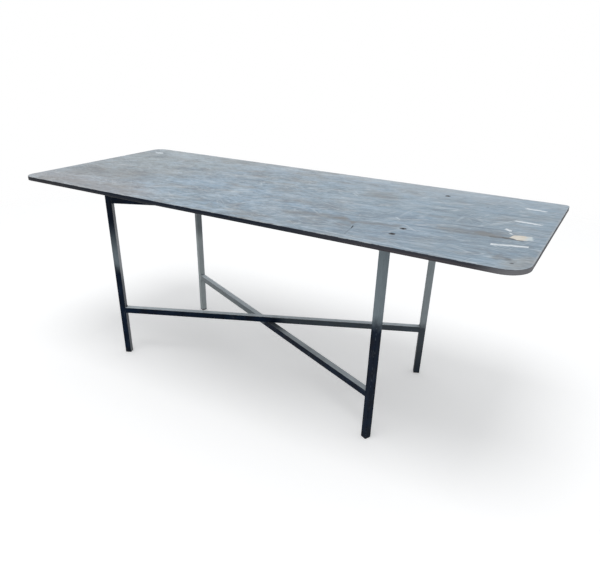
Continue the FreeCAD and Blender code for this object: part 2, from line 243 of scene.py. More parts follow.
BOLT_PLACES = [middle_of(nut) for nut in solids_of("fixing_nuts")]
LEG_BOXES = [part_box("leg_front_left"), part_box("leg_back_right")]
FRONT_LEFT, BACK_RIGHT = [(low + high) / 2 for low, high in LEG_BOXES]
BASE_MIDDLE = (FRONT_LEFT.x + BACK_RIGHT.x) / 2
LEG_X = (BACK_RIGHT.x - FRONT_LEFT.x) / 2
LEG_Y = (BACK_RIGHT.y - FRONT_LEFT.y) / 2
RAIL_HALF = math.hypot(LEG_X, LEG_Y) - TUBE_HALF


# Nodes of materials and world

def colour(red, green, blue):
    """A screen colour, 0 to 255 each, as a shader colour."""
    shares = [value / 255 for value in (red, green, blue)]
    linear = [s / 12.92 if s <= 0.04045 else ((s + 0.055) / 1.055) ** 2.4 for s in shares]
    return (*linear, 1.0)


class Nodes:
    """A node tree in the making."""

    def __init__(self, tree):
        self.tree = tree

    def add(self, kind, inputs=None, **settings):
        """A new node, with settings, and values or links on its inputs."""
        node = self.tree.nodes.new(kind)
        for name, value in settings.items():
            setattr(node, name, value)
        for socket, value in (inputs or {}).items():
            self.feed(node.inputs[socket], value)
        return node

    def feed(self, socket, value):
        """Link an output to a socket, or set a plain value on it."""
        if isinstance(value, bpy.types.NodeSocket):
            self.tree.links.new(value, socket)
        else:
            socket.default_value = value

    def math(self, operation, first, second=0.0, clamp=False):
        """One sum of two values."""
        inputs = {0: first, 1: second}
        return self.add("ShaderNodeMath", inputs, operation=operation, use_clamp=clamp).outputs[0]

    def seen(self):
        """One for what is seen straight, mirrored or through glass, and nothing for other light."""
        path = self.add("ShaderNodeLightPath").outputs
        seen = self.math("MAXIMUM", path["Is Camera Ray"], path["Is Glossy Ray"])
        return self.math("MAXIMUM", seen, path["Is Transmission Ray"])


class Look(Nodes):
    """A material in the making: short names for its nodes, and the colour that its coats build up."""

    def __init__(self, name, specular, metallic=0.0):
        self.material = bpy.data.materials.new(name)
        self.material.use_nodes = True
        super().__init__(self.material.node_tree)
        self.shader = self.tree.nodes["Principled BSDF"]
        self.shader.inputs["Specular IOR Level"].default_value = specular
        self.shader.inputs["Metallic"].default_value = metallic
        self.place = self.add("ShaderNodeTexCoord").outputs["Object"]
        self.x, self.y, self.z = self.add("ShaderNodeSeparateXYZ", {0: self.place}).outputs
        self.flat = self.vector("MULTIPLY", self.place, (1, 1, 0))
        self.base = None

    def product(self, first, *others):
        """Several values multiplied."""
        for other in others:
            first = self.math("MULTIPLY", first, other)
        return first

    def plus(self, value, other, times):
        """A value with some times another one added."""
        return self.math("ADD", value, self.product(other, times))

    def swing(self, grain, reach):
        """Noise of 0 to 1 as a swing to both sides of nothing."""
        return self.product(self.math("SUBTRACT", grain, 0.5), reach)

    def vector(self, operation, first, second=(0, 0, 0), output="Vector"):
        """One sum of two vectors."""
        inputs = {0: first, 1: second}
        return self.add("ShaderNodeVectorMath", inputs, operation=operation).outputs[output]

    def dot(self, first, second):
        """How far one vector goes along another."""
        return self.vector("DOT_PRODUCT", first, second, "Value")

    def noise(self, size, stretch=(1, 1, 1), detail=4.0, roughness=0.55, turn=0.0, shift=0.0,
              smear=0.0):
        """Noise with grains of about a size in metres, stretched along axes turned by some degrees."""
        inputs = {"Vector": self.place, "Location": (shift, shift, shift),
                  "Rotation": (0, 0, math.radians(turn)), "Scale": [size * part for part in stretch]}
        scaled = self.add("ShaderNodeMapping", inputs, vector_type="TEXTURE")
        inputs = {"Vector": scaled.outputs[0], "Scale": 1.0, "Detail": detail, "Roughness": roughness,
                  "Distortion": smear}
        return self.add("ShaderNodeTexNoise", inputs).outputs["Fac"]

    def lines(self, size, width, gaps, **settings):
        """Thin wandering lines where smooth noise crosses its middle, broken by gaps of about a size."""
        level = self.noise(size, detail=1.0, **settings)
        off = self.math("ABSOLUTE", self.math("SUBTRACT", level, 0.5))
        line = self.band(off, 0.8 * width / size, 0.0)
        return self.product(line, self.band(self.noise(gaps, shift=size * 31), 0.46, 0.60))

    def band(self, value, low, high, bottom=0.0, top=1.0):
        """A smooth step from bottom to top while a value goes from low to high."""
        inputs = {1: low, 2: high, 3: bottom, 4: top, 0: value}
        return self.add("ShaderNodeMapRange", inputs, interpolation_type="SMOOTHSTEP").outputs[0]

    def blend(self, share, first, second):
        """Two colours mixed by a share, each a link or a screen colour."""
        inputs = {0: share}
        for socket, tone in ((6, first), (7, second)):
            inputs[socket] = colour(*tone) if isinstance(tone, tuple) else tone
        return self.add("ShaderNodeMix", inputs, data_type="RGBA").outputs[2]

    def ground(self, value, low, high, first, second):
        """Start the colour with a tone that turns into another while a value goes from low to high."""
        self.base = self.blend(self.band(value, low, high), first, second)

    def coat(self, tone, *shares):
        """Lay a tone over the colour, as thick as some shares multiplied."""
        self.base = self.blend(self.product(*shares), self.base, tone)

    def wash(self, tone, value, low, high, most=1.0, *shares):
        """A coat that thickens to its most while a value goes from low to high, times some shares."""
        self.coat(tone, self.band(value, low, high, 0.0, most), *shares)

    def near(self, place, start, end, reach, soft):
        """One inside a streak between two points of the board, falling to nothing past its edge."""
        first = Vector((*start, 0))
        along = Vector((*end, 0)) - first
        offset = self.vector("SUBTRACT", place, first)
        share = self.dot(offset, along / along.length_squared)
        share = self.math("ADD", share, 0.0, clamp=True)
        scaled = self.add("ShaderNodeVectorMath", {0: along, "Scale": share}, operation="SCALE").outputs[0]
        distance = self.vector("DISTANCE", offset, scaled, "Value")
        return self.band(distance, reach, reach + soft, 1.0, 0.0)

    def streaks(self, place, tone, rows):
        """Coats of a tone in streaks, by rows of start, end, reach, width of the soft edge and strength."""
        for start, end, reach, soft, strength in rows:
            self.coat(tone, self.near(place, start, end, reach, soft), strength)

    def shaken(self, scale, detail, reach):
        """Places on the board shaken by noise, so that marks have uneven edges."""
        shake = self.add("ShaderNodeTexNoise", {"Vector": self.place, "Scale": scale, "Detail": detail})
        shake = self.vector("SUBTRACT", shake.outputs["Color"], (0.5, 0.5, 0.5))
        return self.vector("ADD", self.flat, self.vector("MULTIPLY", shake, (*reach, 0)))

    def bump(self, height, depth, before=None):
        """Relief of a depth in metres from a height of 0 to 1, on top of earlier relief."""
        inputs = {"Height": height, "Distance": depth}
        if before is not None:
            inputs["Normal"] = before
        return self.add("ShaderNodeBump", inputs).outputs[0]

    def done(self, roughness, normal):
        """The material, with what varies linked to its shader."""
        for socket, value in (("Base Color", self.base), ("Roughness", roughness), ("Normal", normal)):
            self.feed(self.shader.inputs[socket], value)
        return self.material


# Materials of the board

def top_film_material():
    """Scuffed grey-blue film with stains, pale streaks and a worn border."""
    look = Look("worn_film", specular=0.3)
    clouds = look.noise(0.26, (1.6, 1, 1), detail=5, roughness=0.6)
    drift = look.swing(clouds, 0.9)
    film_tones(look, clouds, drift)
    medium, fine, finest = film_mottling(look, drift)
    film_scratches(look)
    film_marks(look)
    film_border(look)
    worn = look.math("ADD", medium, fine)
    normal = look.bump(finest, 0.15 * MM)
    normal = look.bump(fine, 0.25 * MM, normal)
    return look.done(look.band(worn, 0.7, 1.3, 0.38, 0.56), normal)


def film_tones(look, clouds, drift):
    """Broad tones: warmer by the left end, paler along the back edge, others by place."""
    look.ground(clouds, 0.36, 0.64, (122, 142, 157), (137, 158, 174))
    left = look.math("ADD", look.x, drift)
    look.wash((152, 158, 161), left, -0.20, -0.75, 0.8)
    back = look.plus(look.y, drift, 0.15)
    inland = look.band(look.x, 0.66, 0.88, 1.0, 0.1)
    look.wash((163, 176, 187), back, 0.10, 0.35, 0.55, inland)
    look.wash((176, 184, 190), back, 0.27, 0.36, 0.62, inland)
    for tone, *row in LOCAL_TONES:
        look.streaks(look.flat, tone, [row])


def film_mottling(look, drift):
    """Patches, mottling and combed streaks, giving back the three finer grains."""
    # Warm and cool patches a few centimetres wide, fewer cool ones at the left, all calmer at the right
    calm = look.band(look.x, -0.1, 0.6, 1.0, 0.58)
    tint = look.noise(0.055, (2.2, 1, 1), detail=5, roughness=0.6, turn=8, shift=9.3)
    look.wash((144, 142, 139), tint, 0.50, 0.66, 0.60, calm)
    fewer = look.band(look.x, -0.80, -0.35, 0.25, 1.0)
    look.wash((142, 170, 194), tint, 0.50, 0.34, 0.60, calm, fewer)

    # Mottling, each grain with the share of light and dark that it brings
    pale = (180, 195, 207)
    deep = (76, 91, 107)
    grains = [
        (look.noise(0.085, (1.5, 1, 1), detail=6, roughness=0.62, turn=-12, shift=3.1, smear=0.5), 0.55),
        (look.noise(0.028, (1.7, 1, 1), detail=6, roughness=0.66, turn=14, shift=7.7, smear=0.9), 0.72),
        (look.noise(0.014, (2.1, 1, 1), detail=5, roughness=0.62, turn=5, shift=1.9, smear=0.5), 0.58),
        (look.noise(0.005, (2.8, 1, 1), roughness=0.6, turn=5, shift=4.3), 0.28),
    ]
    for grain, share in grains:
        look.wash(pale, grain, 0.50, 0.72, share, calm)
        look.wash(deep, grain, 0.50, 0.28, share, calm)

    # Combed streaks, stronger toward the right end
    combed = look.noise(0.0085, (24, 1, 1), detail=3, turn=8, shift=6.4)
    right = look.band(look.plus(look.x, drift, 0.4), -0.1, 0.6, 0.18, 0.30)
    look.wash(pale, combed, 0.50, 0.70, 1.0, right)
    look.wash(deep, combed, 0.50, 0.30, 1.0, right)
    return [grain for grain, _ in grains[1:]]


def film_scratches(look):
    """Hairline scratches, long and nearly straight, in several directions."""
    for size, width, length, turn, strength in SCRATCHES:
        line = look.lines(size, width, 0.09, stretch=(length, 1, 1), turn=turn, shift=turn * 0.7)
        look.coat((205, 213, 218), line, strength)
    dark_lines = look.lines(0.04, 0.7 * MM, 0.12, stretch=(12, 1, 1), turn=6, shift=5.1)
    look.coat((66, 72, 80), dark_lines, 0.35)


def film_marks(look):
    """Brown stains, dark spots, grime round the holes at the right, scuffs and bruises."""
    look.streaks(look.shaken(22.0, 6.0, (0.16, 0.07)), (108, 103, 96), STAINS)
    place = look.shaken(160.0, 2.0, (8 * MM, 8 * MM))
    grimy = [(OLD_HOLE, 6 * MM, 0.95)]
    grimy += [(bolt, 5 * MM, 0.97) for bolt in BOLT_PLACES if bolt.x > 0]
    rings = [(hole, hole + Vector((MM, 0)), 7 * MM, soft, strength) for hole, soft, strength in grimy]
    look.streaks(place, (34, 38, 44), SPOTS + rings)
    look.streaks(place, (206, 216, 223), SCUFFS)
    look.streaks(place, (84, 90, 98), [RUBBED_LINE])
    look.streaks(look.flat, (84, 90, 98), [OLD_SCRATCH])

    # Brown bruises where the front edge is nicked
    y = BRUISE_INSET - HALF_WIDTH
    bruises = [((x - reach / 2, y), (x + reach / 2, y), 3 * MM, 5 * MM, 0.75) for x, reach in FRONT_NICKS]
    look.streaks(place, (92, 80, 80), bruises)


def film_border(look):
    """Border rubbed pale, with darker breaks."""
    border = border_distance(look)
    rub = look.noise(0.03, detail=6, roughness=0.7, shift=4.4)
    look.wash((176, 181, 182), border, -8 * MM, -1 * MM, 1.0, look.band(rub, 0.36, 0.58), 0.6)
    look.wash((56, 62, 72), border, -1.3 * MM, -0.5 * MM, 1.0, look.band(rub, 0.62, 0.45))


def border_distance(look):
    """Metres from the board's outline, less than nothing inside it."""
    front = look.band(look.x, -MM, MM, CORNERS[-1, -1], CORNERS[1, -1])
    back = look.band(look.x, -MM, MM, CORNERS[-1, 1], CORNERS[1, 1])
    radius = look.plus(front, look.band(look.y, -MM, MM), look.math("SUBTRACT", back, front))
    squares = []
    for part, half in ((look.x, HALF_LENGTH), (look.y, HALF_WIDTH)):
        inner = look.math("SUBTRACT", half, radius)
        past = look.math("SUBTRACT", look.math("ABSOLUTE", part), inner)
        past = look.math("MAXIMUM", past, 0.0)
        squares.append(look.product(past, past))
    distance = look.math("SQRT", look.math("ADD", *squares))
    return look.math("SUBTRACT", distance, radius)


def backing_film_material():
    """Brown-grey film under the board, cleaner than the top, with long drag marks."""
    look = Look("backing_film", specular=0.3)
    clouds = look.noise(0.35, (1.5, 1, 1), detail=5)
    drag = look.noise(0.012, (26, 1, 1), detail=6, roughness=0.6, turn=3)
    speck = look.noise(0.006, detail=3, roughness=0.7)
    look.ground(clouds, 0.35, 0.65, (58, 58, 60), (82, 81, 80))
    look.wash((120, 118, 114), drag, 0.55, 0.75, 0.5)
    look.wash((40, 40, 43), drag, 0.45, 0.28, 0.5)
    look.wash((134, 127, 116), speck, 0.64, 0.74, 0.6)
    return look.done(look.band(clouds, 0.3, 0.7, 0.42, 0.6), look.bump(drag, 0.4 * MM))


def core_material():
    """Stained edge of the core: nearly black above, brown-grey below, paler at its ends, with a painted
    highlight at the front right corner, and fibres.
    """
    look = Look("stained_core", specular=0.1)
    level = look.math("DIVIDE", look.math("SUBTRACT", look.z, CORE_LOW.z), CORE_HEIGHT)
    drift = look.noise(0.09, detail=5, roughness=0.6)
    fibre = look.noise(0.0012, (40, 40, 1), roughness=0.6)
    patch = look.noise(0.035, (2, 2, 0.4), detail=6, roughness=0.65, shift=6.2)
    edge = look.math("ADD", level, look.swing(drift, 0.35))
    right = look.math("ADD", look.x, look.swing(drift, 0.5))
    lower = look.blend(look.band(right, 0.25, 0.65), (40, 45, 53), (74, 71, 75))
    upper = look.blend(look.band(right, 0.10, 0.60), (20, 29, 43), (60, 61, 68))
    look.ground(edge, 0.42, 0.56, lower, upper)
    look.wash((66, 65, 66), right, -0.50, -0.85, 0.6)
    look.wash((104, 103, 107), right, 0.80, 1.0, 0.6)
    # Painted highlight on the rounded front right corner
    front_right = ((0.93, -0.39), (0.95, -0.36), 0.0, 0.13, 0.6)
    look.streaks(look.flat, (150, 150, 153), [front_right])
    look.wash((88, 87, 88), fibre, 0.5, 0.75, 0.35)
    look.wash((12, 15, 20), fibre, 0.45, 0.25, 0.5)
    look.wash((118, 113, 107), patch, 0.62, 0.74, 0.5)
    return look.done(look.band(patch, 0.3, 0.7, 0.62, 0.8), look.bump(fibre, 0.3 * MM))


def bare_wood_material():
    """Pale core wood where the film has come off, bleached toward the right."""
    look = Look("bare_wood", specular=0.2)
    fibre = look.noise(0.0018, (16, 1, 1), detail=5, roughness=0.6, turn=-6)
    patch = look.noise(0.012, (2, 1, 1))
    look.ground(patch, 0.35, 0.65, (214, 207, 195), (226, 221, 211))
    edge = look.plus(look.x, patch, 20 * MM)
    look.wash((204, 214, 218), edge, 0.894, 0.912)
    look.wash((184, 171, 152), fibre, 0.55, 0.78, 0.45)
    return look.done(look.band(patch, 0.3, 0.7, 0.7, 0.85), look.bump(fibre, 0.3 * MM))


def pale_mark_material():
    """Marks scraped white, with some of the film's grey left in them."""
    look = Look("scraped_white", specular=0.3)
    scrape = look.noise(0.003, (12, 1, 1), detail=5, roughness=0.65, turn=-5)
    look.ground(scrape, 0.34, 0.55, (182, 194, 202), (226, 232, 236))
    return look.done(look.band(scrape, 0.3, 0.7, 0.7, 0.5), look.bump(scrape, 0.2 * MM))


def grime_material():
    """Dark dirt in scratches and in the old hole."""
    look = Look("grime", specular=0.2)
    lump = look.noise(0.002, roughness=0.7)
    look.ground(lump, 0.35, 0.7, (30, 34, 40), (74, 78, 84))
    return look.done(look.band(lump, 0.3, 0.7, 0.75, 0.9), look.bump(lump, 0.3 * MM))


# Materials of the frame

def steel_material(name, angle, board_shade_span, rail_reflection, inner_sheen, crossing_shadow):
    """Blue-black paint on tube that lies along one diagonal: dust, rubbed corners, and painted light: a
    grey reflection of the floor, shade under the board, a sheen, and a shadow at the crossing.
    """
    look = Look(name, specular=0.07)
    normal = look.add("ShaderNodeNewGeometry").outputs["Normal"]
    along = Vector((math.cos(angle), math.sin(angle), 0))
    across = Vector((-math.sin(angle), math.cos(angle), 0))
    turns = [look.dot(normal, way) for way in (along, across, Vector((0, 0, 1)))]
    from_middle = look.vector("SUBTRACT", look.place, (BASE_MIDDLE, 0, 0))
    along_rail = look.dot(from_middle, along)
    on_leg = look.band(look.math("ABSOLUTE", along_rail), RAIL_HALF - 2 * MM, RAIL_HALF - MM)
    tone = look.noise(0.05, detail=5, roughness=0.6)
    look.ground(tone, 0.35, 0.65, (2, 13, 28), (7, 26, 46))

    # Painted reflection of the floor on the legs, above a height that differs from leg to leg, with painted
    # shade under the board fading it upward at the left
    above = look.math("SUBTRACT", look.z, reflection_height(look))
    above = look.math("ADD", above, look.swing(tone, 0.08))
    scratch = look.noise(0.002, (1, 1, 14), roughness=0.6, shift=8.8)
    # Painted shade under the board, darkening the top of the left leg
    board_shade = look.product(look.band(along_rail, 0.1, -0.1), look.band(look.z, *board_shade_span))
    unshaded = look.math("SUBTRACT", 1.0, board_shade)
    patchy = look.band(scratch, 0.2, 0.6, 0.8, 1.0)
    floor_reflection = look.product(look.band(above, -0.03, 0.04), patchy, unshaded, on_leg)

    # Fainter painted reflection along one half of the lower rail and down the leg at its end
    faint_reflection = look.product(look.band(along_rail, *rail_reflection), look.band(look.z, 0.0, 0.16, 0.4, 1.0))
    faint_reflection = look.product(faint_reflection, look.band(look.z, 0.45, 0.30))
    floor_reflection = look.math("MAXIMUM", floor_reflection, faint_reflection)

    # The painted reflection's grey, paler toward the back, thin on faces turned away from the front right
    behind = look.plus(look.y, look.x, -0.25)
    grey = look.blend(look.band(behind, -0.1, 0.3), (132, 144, 150), (172, 180, 182))
    facing = look.dot(normal, (0.5, -0.866, 0))
    look.coat(grey, floor_reflection, look.band(facing, -0.30, 0.05, 0.25, 1.0))

    # Painted sheen on the inner face of the left leg, brightest partway up
    inner = look.product(look.band(turns[0], 0.6, 0.9), look.band(along_rail, -0.55, -0.60))
    thinner = look.band(look.z, 0.50, 0.62, 0.0, 0.5)
    film = look.math("SUBTRACT", look.band(look.z, 0.30, 0.44, 0.35, 0.95), thinner)
    look.coat((184, 187, 190), inner, film, inner_sheen)

    # Dust on what faces up, thinner on the near end of the lower rail; by the crossing it is taken off as a
    # painted shadow of the upper rail
    dust = look.product(look.band(turns[2], 0.55, 0.95), look.band(tone, 0.25, 0.6, 0.8, 1.0))
    near_end = look.math("SUBTRACT", look.product(look.x, 0.4), look.y)
    crossing = look.product(look.band(along_rail, -0.02, 0.01), look.band(along_rail, 0.17, 0.05))
    unshadowed = look.plus(1.0, crossing, -crossing_shadow)
    dust = look.product(dust, look.band(near_end, 0.02, 0.20, 1.0, 0.62), unshadowed)
    look.coat((233, 243, 249), dust)

    # Hairline scratches up the legs and along the rails
    upright = look.lines(0.016, 0.5 * MM, 0.03, stretch=(1, 1, 7), shift=2.7)
    lying = look.lines(0.014, 0.5 * MM, 0.03, stretch=(9, 1, 1), turn=math.degrees(angle), shift=6.1)
    look.coat((128, 136, 142), look.blend(on_leg, lying, upright), 0.14)

    # Corners rubbed through the paint, and pits
    facings = [look.math("ABSOLUTE", turn) for turn in turns]
    squareness = look.math("MAXIMUM", look.math("MAXIMUM", facings[0], facings[1]), facings[2])
    chips = look.noise(0.007, detail=6, roughness=0.72, shift=5.5)
    worn = look.product(look.band(squareness, 0.985, 0.90), look.band(chips, 0.50, 0.62))
    look.coat((112, 118, 122), worn, 0.45)
    pits = look.band(chips, 0.70, 0.75)
    look.coat((96, 86, 80), pits, 0.6)

    roughness = look.plus(look.band(tone, 0.3, 0.7, 0.36, 0.50), dust, 0.3)
    peel = look.noise(0.0016, detail=2, roughness=0.5, shift=2.2)
    relief = look.bump(peel, 0.03 * MM)
    relief = look.bump(pits, -0.08 * MM, relief)
    return look.done(roughness, relief)


def reflection_height(look):
    """Height at which the painted reflection starts, drawn evenly between the four legs."""
    front_left, front_right, back_left, back_right = REFLECTION_START.values()
    mean = sum(REFLECTION_START.values()) / 4
    by_x = (front_right + back_right - front_left - back_left) / 4 / LEG_X
    by_y = (back_left + back_right - front_left - front_right) / 4 / LEG_Y
    by_both = (front_left + back_right - front_right - back_left) / 4 / (LEG_X * LEG_Y)
    from_middle = look.math("SUBTRACT", look.x, BASE_MIDDLE)
    height = look.plus(mean, from_middle, by_x)
    height = look.plus(height, look.y, by_y)
    return look.plus(height, look.product(from_middle, look.y), by_both)


def weld_material():
    """Paint over weld beads, thinner on the crests, with the painted grey reflection of the floor that the
    back tubes carry.
    """
    look = Look("painted_weld", specular=0.35)
    tone = look.noise(0.006, detail=5, roughness=0.65)
    spatter = look.noise(0.0015, detail=3, roughness=0.7, shift=3.3)
    look.ground(tone, 0.35, 0.65, (12, 20, 29), (36, 45, 54))
    # Painted reflection of the floor, grey toward the back as on the tubes
    look.wash((150, 159, 163), look.y, 0.1, 0.2, 0.75)
    look.wash((96, 98, 98), spatter, 0.62, 0.74, 0.6)
    return look.done(look.band(tone, 0.3, 0.7, 0.36, 0.55), look.bump(spatter, 0.12 * MM))


def foot_material():
    """Moulded black plastic with a fine grain, scuffed and dusty by the floor."""
    look = Look("foot_plastic", specular=0.35)
    grain = look.noise(0.0008, detail=2, roughness=0.5)
    scuff = look.noise(0.006, (1, 1, 0.4), detail=5, roughness=0.7)
    look.ground(grain, 0.35, 0.65, (17, 19, 22), (29, 31, 34))
    low = look.band(look.z, 4 * MM, 0.5 * MM)
    look.coat((104, 101, 96), low, look.band(scuff, 0.45, 0.7), 0.7)
    return look.done(look.band(scuff, 0.3, 0.7, 0.45, 0.65), look.bump(grain, 0.04 * MM))


def fastener_material():
    """Blackened steel, bright on its turned edges; the heads at the left end are caked with dust."""
    look = Look("blackened_steel", specular=0.5, metallic=0.85)
    tone = look.noise(0.004, detail=5, roughness=0.65)
    turned = look.noise(0.0007, (1, 1, 0.3), detail=3)
    rust = look.noise(0.0025, detail=6, roughness=0.7, shift=7.1)
    look.ground(tone, 0.35, 0.65, (40, 42, 46), (70, 72, 75))
    look.wash((126, 126, 124), turned, 0.6, 0.75, 0.5)
    look.wash((92, 62, 42), rust, 0.62, 0.72, 0.5)
    head = look.band(look.z, FILM_HIGH.z - 3 * MM, FILM_HIGH.z - MM)
    look.coat((14, 18, 24), head, 0.95)
    cake = look.band(rust, 0.30, 0.42, 0.7, 1.0)
    look.coat((150, 155, 160), head, look.band(look.x, -0.1, -0.3), cake)
    return look.done(look.band(tone, 0.3, 0.7, 0.38, 0.6), look.bump(turned, 0.05 * MM))


# Meshes

def finished(mesh, name, materials):
    """A piece of the scene from a mesh in the making."""
    data = bpy.data.meshes.new(name)
    mesh.to_mesh(data)
    mesh.free()
    for material in materials:
        data.materials.append(material)
    piece = bpy.data.objects.new(name, data)
    bpy.context.scene.collection.objects.link(piece)
    return piece


def stand_in(piece, node):
    """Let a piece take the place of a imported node."""
    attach(piece, "root")
    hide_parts(node)


def wall(mesh, loops):
    """Faces between each closed loop of corners and the next."""
    for lower, upper in zip(loops, loops[1:]):
        for index in range(len(lower)):
            after = (index + 1) % len(lower)
            mesh.faces.new((lower[index], lower[after], upper[after], upper[index]))


def inside(point, loop):
    """Whether a point lies in a closed loop."""
    found = False
    for first, second in zip(loop, loop[1:] + loop[:1]):
        if (first.y > point.y) != (second.y > point.y):
            crossing = first.x + (point.y - first.y) / (second.y - first.y) * (second.x - first.x)
            if point.x < crossing:
                found = not found
    return found


def circle(centre, radius):
    """Points round a circle."""
    turns = [2 * math.pi * side / HOLE_SIDES for side in range(HOLE_SIDES)]
    return [centre + Vector((math.cos(turn), math.sin(turn))) * radius for turn in turns]


def drawn_in(loop, distance):
    """A loop moved inward by a distance."""
    turn = sum(a.x * b.y - a.y * b.x for a, b in zip(loop, loop[1:] + loop[:1]))
    side = math.copysign(distance, turn)
    inner = []
    for index, point in enumerate(loop):
        along = (loop[(index + 1) % len(loop)] - loop[index - 1]).normalized()
        inner.append(point + Vector((-along.y, along.x)) * side)
    return inner


# Shapes of the board

def outline():
    """The board's outline as points with their outward directions, front edge first."""
    quarter = math.pi / 2
    arcs = []
    for turn, (way, radius) in enumerate(CORNERS.items()):
        centre = Vector((way[0] * (HALF_LENGTH - radius), way[1] * (HALF_WIDTH - radius)))
        steps = max(FEWEST_STEPS, round(radius * quarter / OUTLINE_STEP))
        arc = []
        for step in range(steps + 1):
            angle = (turn - 1 + step / steps) * quarter
            outward = Vector((math.cos(angle), math.sin(angle)))
            arc.append((centre + outward * radius, outward))
        arcs.append(arc)
    points = []
    for before, arc in zip(arcs[-1:] + arcs[:-1], arcs):
        start, outward = before[-1]
        end = arc[0][0]
        steps = round((end - start).length / OUTLINE_STEP)
        points += [(start.lerp(end, step / steps), outward) for step in range(1, steps)]
        points += arc
    return points


def edge_nicks(points, draw):
    """Dents in the edge as place, reach, depth, and how far down they go from the top."""
    nicks = []
    for x, reach in FRONT_NICKS:
        nicks.append((Vector((x, -HALF_WIDTH)), reach, FRONT_NICK_DEPTH, FRONT_NICK_DROP))
    for _ in range(LOOSE_NICKS):
        place = draw.choice(points)[0]
        reach, depth, drop = [draw.uniform(*span) * MM for span in LOOSE_NICK_SPANS]
        nicks.append((place, reach, depth, drop))
    for (sx, sy), radius in CORNERS.items():
        inset = CORNER_NICK_INSET * radius
        place = Vector((sx * (HALF_LENGTH - inset), sy * (HALF_WIDTH - inset)))
        reach, depth = [draw.uniform(*span) * MM for span in CORNER_NICK_SPANS]
        nicks.append((place, reach, depth, CORNER_NICK_DROP))
    return nicks


def taken_in(point, height, nicks):
    """How far wear has taken the edge in at a point and height."""
    spot = Vector((point.x, point.y, height * EDGE_LAYERING)) / EDGE_GRAIN
    depth = EDGE_ROUGHNESS * (0.5 + 0.5 * noise.noise(spot))
    for place, reach, deep, drop in nicks:
        share = (point - place).length / reach
        if share < 1:
            fall = max(0.0, 1 - (FILM_HIGH.z - height) / drop)
            depth += deep * (1 - share * share) ** 2 * fall
    return depth


def worn_ring(points, height, nicks, extra):
    """The outline taken in by wear and by an extra amount at a height, with that height."""
    loop = [point - way * (taken_in(point, height, nicks) + extra(point)) for point, way in points]
    return loop, height


def lip(share):
    """The extra amount by which a share of the lip's rounding takes points in."""
    def amount(point):
        spot = Vector((point.x, point.y, LIP_SEED)) / LIP_GRAIN
        return share * LIP_ROUND * (1 + LIP_SWING * noise.noise(spot))
    return amount


def ragged(corners, step, shake, seed):
    """A loop through listed corners, given more points and an uneven line."""
    loop = []
    for first, second in zip(corners, corners[1:] + corners[:1]):
        first = Vector(first) * MM
        second = Vector(second) * MM
        count = max(1, round((second - first).length / step))
        loop += [first.lerp(second, index / count) for index in range(count)]
    shaken = []
    for point in loop:
        spot = Vector((point.x, point.y, seed)) / MARK_GRAIN
        shaken.append(point + Vector((noise.noise(spot), noise.noise(spot + SHAKE_SHIFT))) * shake)
    return shaken


def bar(start, end, width, slant):
    """Corners of a scraped bar with slanting ends."""
    first = Vector(start)
    last = Vector(end)
    along = (last - first).normalized()
    side = Vector((-along.y, along.x)) * width / 2
    lean = along * slant
    return [first - side, last - side - lean, last + side * BAR_TAPER, first + side + lean]


def top_marks():
    """Chips, scrapes and a scratch in the top film, drawn in millimetres."""
    bare, white, dirt = 1, 2, 3
    chip = [
        (848, -113), (852, -96), (855, -84), (867, -78), (880, -73), (893, -74), (901, -68), (908, -73),
        (905, -82), (913, -88), (907, -96), (915, -105), (902, -109), (898, -118), (883, -121),
        (872, -125), (860, -117),
    ]
    fleck = [(817, -33), (822, -25), (840, -37), (842, -48), (836, -52), (827, -45)]
    small_fleck = [(836, -64), (843, -65), (852, -76), (846, -80)]
    corner_chip = [(-890, 292), (-870, 281), (-848, 287), (-842, 299), (-858, 313), (-882, 309)]
    scratch = [(421, -262), (425, -263), (431, -292), (428.5, -293)]
    drawn = [
        (chip, 5, 1.2, bare, 0.85),
        (fleck, 4, 1.0, white, 0.5),
        (small_fleck, 3, 0.8, white, 0.4),
        (corner_chip, 4, 1.4, white, 0.6),
        (bar((824, 257), (898, 252), 15, 6), 5, 1.0, white, 0.35),
        (bar((822, 77), (912, 75), 15, 8), 5, 1.0, white, 0.35),
        (bar((814, -205), (914, -171), 15, 4), 5, 1.0, white, 0.35),
        (scratch, 6, 0.4, dirt, 0.3),
    ]
    marks = []
    for seed, (corners, step, shake, material, depth) in enumerate(drawn):
        loop = ragged(corners, step * MM, shake * MM, seed * MARK_SEEDS)
        floor = drawn_in(loop, MARK_WALL)
        marks.append({"outline": loop, "floor": floor, "material": material, "depth": depth * MM})
    return marks


def bolt_bore(height):
    """Radius of a bolt's hole at a height, with its countersink."""
    return BOLT_HOLE_RADIUS + max(0.0, height - COUNTERSINK_BOTTOM)


def round_edges(first, count):
    """Index pairs round a closed loop of corners."""
    return [(first + index, first + (index + 1) % count) for index in range(count)]


